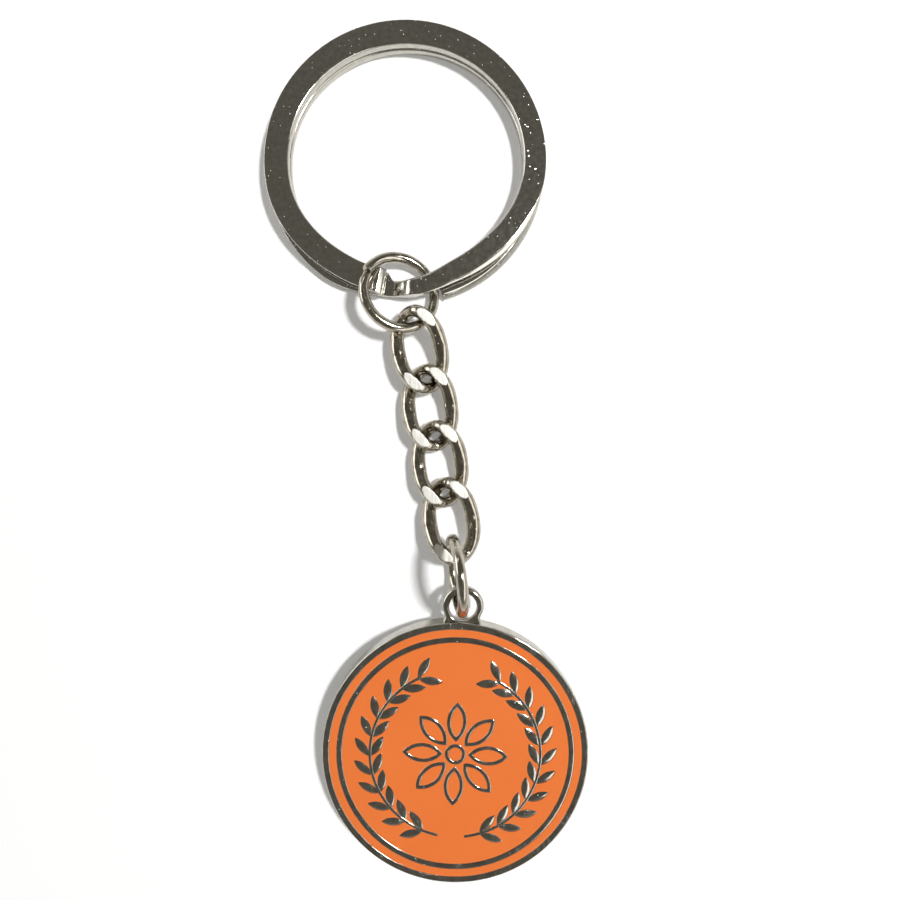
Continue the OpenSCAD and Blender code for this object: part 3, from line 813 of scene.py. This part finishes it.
from_seam = m("DIVIDE", m("SUBTRACT", turn, inside.outputs["Seam at"]), seam_angle)
groove = m("POWER", math.e, m("MULTIPLY", m("MULTIPLY", from_seam, from_seam), -1.0))
scale = m("SUBTRACT", 1.0, m("MULTIPLY", groove, inside.outputs["Seam depth"]))
pressed_share = m("MULTIPLY", m("MULTIPLY", m("COSINE", turn), m("COSINE", turn)),
                  inside.outputs["Press"])
oval = store_mark(oval, "press", pressed_share)
oval = store_mark(oval, "axis", geo(tree, "GeometryNodeInputPosition"), "FLOAT_VECTOR")
oval = store_mark(oval, "along", geo(tree, "GeometryNodeInputTangent"), "FLOAT_VECTOR")
wire = geo(tree, "GeometryNodeCurvePrimitiveCircle", {"Resolution": inside.outputs["Sides"],
                                                      "Radius": inside.outputs["Wire radius"]})
swept = geo(tree, "GeometryNodeCurveToMesh", {"Curve": oval, "Profile Curve": wire, "Scale": scale})
print("wire:", len(tree.nodes), "nodes")

# %% [markdown]
# The second part reads the marks back. Each point moves sideways, away from the middle of its
# own wire, as far as its press mark says. Then every point beyond half the thickness is marked
# as ground, so that the finish can change there, and is pressed back to a plane.

# %% Curb link press and grind
def vector_step(operation, a, b=None):
    step = tree.nodes.new("ShaderNodeVectorMath")
    step.operation = operation
    for socket, value in zip(step.inputs, (a, b)):
        if isinstance(value, bpy.types.NodeSocket):
            tree.links.new(value, socket)
        elif value is not None:
            socket.default_value = value
    return step


axis, along = (read_mark(tree, name, "FLOAT_VECTOR") for name in ("axis", "along"))
across_wire = vector_step("CROSS_PRODUCT", along, (0, 0, 1)).outputs[0]
sideways = vector_step("NORMALIZE", across_wire).outputs[0]
from_axis = vector_step("SUBTRACT", geo(tree, "GeometryNodeInputPosition"), axis).outputs[0]
reach_out = vector_step("DOT_PRODUCT", from_axis, sideways).outputs["Value"]
widen = vector_step("SCALE", sideways)
tree.links.new(m("MULTIPLY", reach_out, read_mark(tree, "press")), widen.inputs["Scale"])
swept = geo(tree, "GeometryNodeSetPosition", {0: swept, "Offset": widen.outputs[0]})
parts = tree.nodes.new("ShaderNodeSeparateXYZ")
tree.links.new(geo(tree, "GeometryNodeInputPosition"), parts.inputs[0])
half_thick = inside.outputs["Half thickness"]
beyond = m("SUBTRACT", m("ABSOLUTE", parts.outputs[2]), half_thick)
marked = store_mark(swept, "ground", m("GREATER_THAN", beyond, 0.0))
flat_z = m("MINIMUM", m("MAXIMUM", parts.outputs[2], m("MULTIPLY", half_thick, -1.0)), half_thick)
flat_at = geo(tree, "ShaderNodeCombineXYZ", {0: parts.outputs[0], 1: parts.outputs[1], 2: flat_z})
finish_tree(tree, inside, geo(tree, "GeometryNodeSetPosition", {0: marked, "Position": flat_at}))
curb_link = tree
print("curb link tree:", len(tree.nodes), "nodes")

# %% Four links
link_sizes = {
    "Half length": 4.1 * mm, "Half width": 2.27 * mm, "Wire radius": 0.65 * mm,
    "Half thickness": 1.25 * mm, "Twist": math.radians(44), "Gather": 1.5, "Press": 0.2,
    "Squareness": 2.4, "Seam depth": 0.14, "Points": 340, "Sides": 48, "Finish": link_nickel}
for number, lean, pitch, centre, seam in (
        (1, 11.8, 6.7, (1.52824, -20.10082, 1.7283), 118),
        (2, 7, 0, (2.59902, -26.23608, 1.25), 268),
        (3, 7.5, 0, (3.68083, -32.24854, 1.25), 84),
        (4, 10, -6, (4.89569, -38.32835, 1.6786), 76)):
    name, node = "curb_link_%d" % number, "chain_link_%d" % number
    mesh = grow(name, curb_link, {**link_sizes, "Seam at": math.radians(seam)})
    mesh.transform(place_of((("Z", lean), ("X", pitch)), centre))
    put_in_place(name, mesh, node, node)

# %% [markdown]
# ## Medallion
# The medallion is struck from one blank: a disc with a polished rim, pockets for the enamel and
# raised lines that keep the colours apart. All of it is built flat, back down, and then leaned
# on the lower jump ring in one move. The blank is a turned shape, so its outline is written as
# radius and height and spun. The rim rolls over and the raised circle is domed, as polishing
# leaves them, which gives each line one bright and one dark flank. Beside each rounding a point
# holds the flat face, so that smooth shading doesn't bend across it.

# %% Sizes of the blank
medal_r, rim_w, border_w, circle_w = 14.0, 0.72, 0.78, 0.6
medal_t, pocket_z, line_foot = 2.0, 1.49, 1.93
border_out = medal_r - rim_w
border_in = border_out - border_w
field_r = border_in - circle_w
print("border %.2f to %.2f mm, field to %.2f mm" % (border_in, border_out, field_r))

# %% Domed lines and rounded edges
dome_fullness = 0.8


def dome(from_r, to_r, foot, crown, count):
    """A domed line seen from its end: radius and height from one foot to the other."""
    middle, half = (from_r + to_r) / 2, (to_r - from_r) / 2
    return [(middle - half * math.cos(math.pi * k / count),
             foot + (crown - foot) * math.sin(math.pi * k / count) ** dome_fullness)
            for k in range(count + 1)]


def quarter(centre_r, centre_z, size_r, size_z, start, count):
    """A rounded edge: a quarter turn from the start angle."""
    turn = [math.radians(start + 90 * k / count) for k in range(count + 1)]
    return [(centre_r + size_r * math.cos(t), centre_z + size_z * math.sin(t)) for t in turn]


print("a dome of four steps:", [round(z, 2) for x, z in dome(0, 1, 0, 1, 4)])

# %% Outline of the blank
back_roll, rim_roll_w, rim_roll_h, wall_roll_w, wall_roll_h = 0.16, 0.17, 0.20, 0.12, 0.07
back_flat, back_hold, side_hold, top_hold, circle_steps = 1.0, 0.03, 0.04, 0.02, 10
rim_roll_z = medal_t - rim_roll_h
outline = [(medal_r - back_flat, 0), (medal_r - back_roll - back_hold, 0)]
outline += quarter(medal_r - back_roll, back_roll, back_roll, back_roll, -90, 5)
outline += [(medal_r, back_roll + side_hold), (medal_r, rim_roll_z - side_hold)]
outline += quarter(medal_r - rim_roll_w, rim_roll_z, rim_roll_w, rim_roll_h, 0, 6)
outline += [(medal_r - rim_roll_w - top_hold, medal_t),
            (border_out + wall_roll_w + top_hold, medal_t)]
outline += quarter(border_out + wall_roll_w, line_foot, wall_roll_w, wall_roll_h, 90, 4)
outline += [(border_out, pocket_z), (border_in, pocket_z)]
outline += dome(field_r, border_in, line_foot, medal_t, circle_steps)[::-1]
outline += [(field_r, pocket_z)]
print("blank:", len(outline), "points in the outline")

# %% Turned blank
def turned(outline, around):
    """Points and faces of an outline spun about Z, closed at the middle on both sides."""
    points, faces = [(0, 0, outline[0][1])], []
    count = len(outline)
    for i in range(around):
        a = 2 * math.pi * i / around
        points += [(r * math.cos(a), r * math.sin(a), z) for r, z in outline]
    points.append((0, 0, outline[-1][1]))
    last = len(points) - 1
    for i in range(around):
        a, b = 1 + i * count, 1 + ((i + 1) % around) * count
        faces.append((0, b, a))
        faces.append((last, a + count - 1, b + count - 1))
        faces += [(a + k, b + k, b + k + 1, a + k + 1) for k in range(count - 1)]
    return points, faces


blank_steps = 288
medal_parts = [turned(outline, blank_steps)]
print("blank:", len(medal_parts[0][1]), "faces")

# %% [markdown]
# The lug is a flat eye cast with the disc. Its hole is round and its outside is round above and
# straight below, where it runs into the disc. For every direction from the middle of the hole
# the outside distance is known, so a rounded section is laid between hole and outside.

# %% Sizes of the lug
hole_r, lug_r, lug_low, lug_high, lug_y = 1.425, 2.2, 0.75, 1.7, 15.55
waist_in, waist_over, foot_out, foot_from, foot_over = 0.34, 0.55, 0.3, 0.5, 0.25
lug_reach, tiny_share = 2.5, 1e-6
lug_marks = bar_section(near_r=0.24, far_r=0.38, tall_r=0.34, steps=7)


def lug_outside(angle):
    """How far the lug reaches from the middle of its hole in one direction."""
    c, s = math.cos(angle), math.sin(angle)
    if s >= 0:
        return lug_r
    waist = lug_r - waist_in * float(ease(-s / waist_over))
    waist = waist + foot_out * float(ease((-s - foot_from) / foot_over))
    return min(waist / max(abs(c), tiny_share), lug_reach / -s)


print("lug reaches %.2f mm up from its hole" % lug_outside(math.pi / 2))

# %% Lug laid round its hole
points, faces = [], []
around, count = 144, len(lug_marks)
for i in range(around):
    a = 2 * math.pi * i / around
    far = lug_outside(a)
    for side_share, side_in, high_share, high_in in lug_marks:
        low_r, high_r = hole_r + side_in, far - side_in
        r = low_r + side_share * (high_r - low_r)
        low_z, high_z = lug_low + high_in, lug_high - high_in
        z = low_z + high_share * (high_z - low_z)
        points.append((r * math.cos(a), lug_y + r * math.sin(a), z))
    here, after = i * count, (i + 1) % around * count
    faces += [(here + k, after + k, after + (k + 1) % count, here + (k + 1) % count)
              for k in range(count)]
medal_parts.append((points, faces))
print("lug: %d faces" % len(faces))

# %% [markdown]
# ## Ornament
# A laurel wreath of two sprays goes round a rosette of eight petals. Petals and leaves repeat,
# so one of each is modelled as a mesh and a tree sets the copies. A petal is an outline of two
# arcs: insetting both arcs by the same amount keeps its points sharp, and that inset runs
# across the domed line. A leaf is the same lens, filled, with a ridge along its middle.

# %% Sizes of the ornament
petals, line_w, heart_r, heart_gap, petal_gap, petal_to_leaf = 8, 0.4, 1.1, 0.22, 0.55, 1.9
leaf_len, leaf_w, leaf_angle, stem_w, leaf_pairs, leaf_to_circle = 2.5, 0.92, 34, 0.32, 11, 1.45
leaf_rise = (leaf_len + stem_w / 2) * math.sin(math.radians(leaf_angle))
wreath_r = field_r - leaf_to_circle - leaf_rise
petal_start = heart_r + heart_gap
petal_reach = wreath_r - leaf_rise - petal_to_leaf
petal_len = petal_reach - petal_start
petal_w = (petal_start + petal_reach) * math.sin(math.pi / petals) - petal_gap
print("petal %.2f x %.2f mm, leaf %.1f x %.2f mm" % (petal_len, petal_w, leaf_len, leaf_w))

# %% Lens shapes and skins
petal_steps, leaf_steps, line_steps = 30, 14, 8


def lens_loop(length, width, inset, steps):
    """Points round a lens of two arcs whose edge is moved in by inset."""
    arc_r = (length ** 2 + width ** 2) / (4 * width)
    drop = arc_r - width / 2
    r = arc_r - inset
    half = math.acos(min(1, drop / r))
    loop = []
    for sign in (1, -1):
        for k in range(steps):
            t = half * (1 - 2 * k / steps)
            loop.append((sign * r * math.sin(t), sign * (r * math.cos(t) - drop)))
    return loop


def stack(loops, heights, closed):
    """Skins loops of equal length; closed joins the last to the first, else lids are added."""
    points = [(x, y, z) for loop, z in zip(loops, heights) for x, y in loop]
    n, rows, faces = len(loops[0]), len(loops), []
    for i in range(rows if closed else rows - 1):
        j = (i + 1) % rows
        faces += [(i * n + k, i * n + (k + 1) % n, j * n + (k + 1) % n, j * n + k)
                  for k in range(n)]
    if not closed:
        faces += [tuple(range(n - 1, -1, -1)), tuple((rows - 1) * n + k for k in range(n))]
    return points, faces


print("lens: %d points" % len(lens_loop(petal_len, petal_w, 0, petal_steps)))

# %% One petal and one leaf
across = dome(0, line_w, line_foot, medal_t, line_steps) + [(line_w, pocket_z), (0, pocket_z)]
petal = stack([lens_loop(petal_len, petal_w, w, petal_steps) for w, z in across],
              [z for w, z in across], True)
ridge_half, ridge_over, ridge_fullness = 0.001, 0.03, 0.9
ridge_at, ridge_z = leaf_w / 2 - ridge_half, medal_t + ridge_over
leaf_rows = [0, 0.03, 0.08, 0.15, 0.23, 0.32, 0.41, ridge_at]
leaf_heights = [line_foot + (ridge_z - line_foot)
                * math.sin(w / ridge_at * math.pi / 2) ** ridge_fullness for w in leaf_rows]
leaf = stack([lens_loop(leaf_len, leaf_w, w, leaf_steps) for w in [0] + leaf_rows],
             [pocket_z] + leaf_heights, False)
print("petal: %d faces, leaf: %d faces" % (len(petal[1]), len(leaf[1])))

# %% Tree of the rosette
def set_copies(tree, inside, count, spot, angle):
    """Puts one copy on each spot, turned about Z by its angle, and ends the tree."""
    dots = geo(tree, "GeometryNodePoints", {"Count": count, "Position": spot})
    info = tree.nodes.new("GeometryNodeObjectInfo")
    tree.links.new(inside.outputs["Copy"], info.inputs["Object"])
    heading = geo(tree, "ShaderNodeCombineXYZ", {2: angle})
    copies = geo(tree, "GeometryNodeInstanceOnPoints", {
        "Points": dots, "Instance": info.outputs["Geometry"],
        "Rotation": geo(tree, "FunctionNodeEulerToRotation", {0: heading})})
    finish_tree(tree, inside, copies)


tree, inside = new_tree("rosette", [("Copy", "Object"), ("Count", "Int"), ("Reach", "Float"),
                                    ("Finish", "Material")])
m = maths(tree)
share = m("DIVIDE", geo(tree, "GeometryNodeInputIndex"), inside.outputs["Count"])
angle = m("ADD", m("MULTIPLY", share, 2 * math.pi), math.pi / 2)
spot = round_spot(tree, inside.outputs["Reach"], angle, 0.0)
set_copies(tree, inside, inside.outputs["Count"], spot, angle)
rosette_tree = tree
print("rosette tree:", len(tree.nodes), "nodes")

# %% [markdown]
# In a spray the leaves come in pairs, one on each side of the stem. The index of a leaf gives
# its pair and its side. The hand input is 1 for the right spray and -1 for the left one, so the
# same tree makes both.

# %% Tree of a laurel spray
tree, inside = new_tree("laurel_spray", [
    ("Copy", "Object"), ("Pairs", "Int"), ("Foot", "Float"), ("Span", "Float"), ("Radius", "Float"),
    ("Spread", "Float"), ("Stand off", "Float"), ("Hand", "Float"), ("Finish", "Material")])
m = maths(tree)
first_pair = 0.75
index = geo(tree, "GeometryNodeInputIndex")
pair = m("FLOOR", m("DIVIDE", index, 2.0))
which = m("SUBTRACT", m("MULTIPLY", m("SUBTRACT", index, m("MULTIPLY", pair, 2.0)), 2.0), 1.0)
along = m("DIVIDE", m("ADD", pair, first_pair), inside.outputs["Pairs"])
swing = m("ADD", inside.outputs["Foot"], m("MULTIPLY", inside.outputs["Span"], along))
angle = m("SUBTRACT", m("MULTIPLY", inside.outputs["Hand"], swing), math.pi / 2)
lean = m("ADD", m("MULTIPLY", which, inside.outputs["Spread"]), math.pi / 2)
aim = m("ADD", angle, m("MULTIPLY", inside.outputs["Hand"], lean))
on_stem = round_spot(tree, inside.outputs["Radius"], angle, 0.0)
off_stem = round_spot(tree, inside.outputs["Stand off"], aim, 0.0)
spot = geo(tree, "ShaderNodeVectorMath", {0: on_stem, 1: off_stem}, operation="ADD")
set_copies(tree, inside, m("MULTIPLY", inside.outputs["Pairs"], 2.0), spot, aim)
spray_tree = tree
print("spray tree:", len(tree.nodes), "nodes")

# %% Rosette and sprays
def as_object(name, shape):
    mesh = bpy.data.meshes.new(name)
    mesh.from_pydata([tuple(c * mm for c in p) for p in shape[0]], [], shape[1])
    made = bpy.data.objects.new(name, mesh)
    scene.collection.objects.link(made)
    return made


def mesh_parts(mesh):
    """Points in millimetres and faces of a mesh, which is then thrown away."""
    made = ([tuple(c / mm for c in v.co) for v in mesh.vertices],
            [tuple(p.vertices) for p in mesh.polygons])
    bpy.data.meshes.remove(mesh)
    return made


spray_foot, spray_top = 9, 26
petal_object, leaf_object = as_object("petal", petal), as_object("leaf", leaf)
medal_parts.append(mesh_parts(grow("rosette", rosette_tree, {
    "Copy": petal_object, "Count": petals, "Reach": (petal_start + petal_len / 2) * mm,
    "Finish": medal_nickel})))
for hand in (1, -1):
    medal_parts.append(mesh_parts(grow("spray", spray_tree, {
        "Copy": leaf_object, "Pairs": leaf_pairs, "Foot": math.radians(spray_foot),
        "Span": math.radians(180 - spray_top - spray_foot), "Radius": wreath_r * mm,
        "Spread": math.radians(leaf_angle), "Stand off": (leaf_len / 2 + stem_w / 2) * mm,
        "Hand": float(hand), "Finish": medal_nickel})))
bpy.data.objects.remove(petal_object)
bpy.data.objects.remove(leaf_object)
print("medallion parts:", len(medal_parts))

# %% Heart and stems
end_drop, heart_steps, stem_steps = 0.06, 64, 90


def arc_line(radius, width, start, end, steps):
    """A domed line along an arc; a full circle is closed, an open arc gets ends."""
    shape = dome(-width / 2, width / 2, line_foot, medal_t, line_steps)
    shape += [(width / 2, pocket_z), (-width / 2, pocket_z)]
    full = abs(end - start) >= 360
    points, faces, n = [], [], len(shape)
    rows = steps if full else steps + 1
    for i in range(rows):
        a = math.radians(start + (end - start) * i / steps)
        low = end_drop if not full and i in (0, rows - 1) else 0
        points += [((radius + x) * math.cos(a), (radius + x) * math.sin(a),
                    max(min(z, line_foot), z - low)) for x, z in shape]
    for i in range(steps):
        j = (i + 1) % rows
        faces += [(i * n + k, j * n + k, j * n + (k + 1) % n, i * n + (k + 1) % n)
                  for k in range(n)]
    if not full:
        faces += [tuple(range(n)), tuple((rows - 1) * n + k for k in range(n - 1, -1, -1))]
    return points, faces


medal_parts.append(arc_line(heart_r - line_w / 2, line_w, 0, 360, heart_steps))
for start, end in ((-90 + spray_foot, 90 - spray_top), (-90 - spray_foot, -270 + spray_top)):
    medal_parts.append(arc_line(wreath_r, stem_w, start, end, stem_steps))
print("medallion parts:", len(medal_parts))

# %% [markdown]
# Each of these shells must face outwards on its own before they are joined, because a shell
# that is inside out would shade wrongly and print badly. The sign of a closed shell's volume
# tells which way it faces. Then everything is leaned into place as one mesh.

# %% Join the medallion
def facing_out(points, faces):
    p = np.array(points)
    volume = sum(np.dot(p[f[0]], np.cross(p[f[k]], p[f[k + 1]]))
                 for f in faces for k in range(1, len(f) - 1))
    return faces if volume > 0 else [tuple(reversed(f)) for f in faces]


all_points, all_faces = [], []
for points, faces in medal_parts:
    base = len(all_points)
    all_faces += [tuple(base + k for k in f) for f in facing_out(points, faces)]
    all_points += points
medal_mesh = bpy.data.meshes.new("medallion_metal")
medal_mesh.from_pydata([tuple(c * mm for c in p) for p in all_points], [], all_faces)
medal_mesh.materials.append(medal_nickel)
medal_mesh.shade_smooth()
medal_mesh.transform(place_of((("Z", -3), ("X", 2.64653)), (5.32119, -62.60862, 0.64644)))
put_in_place("medallion_metal", medal_mesh, "medallion", "medallion_body")

# %% Plain view transform
scene.view_settings.view_transform = "Standard"
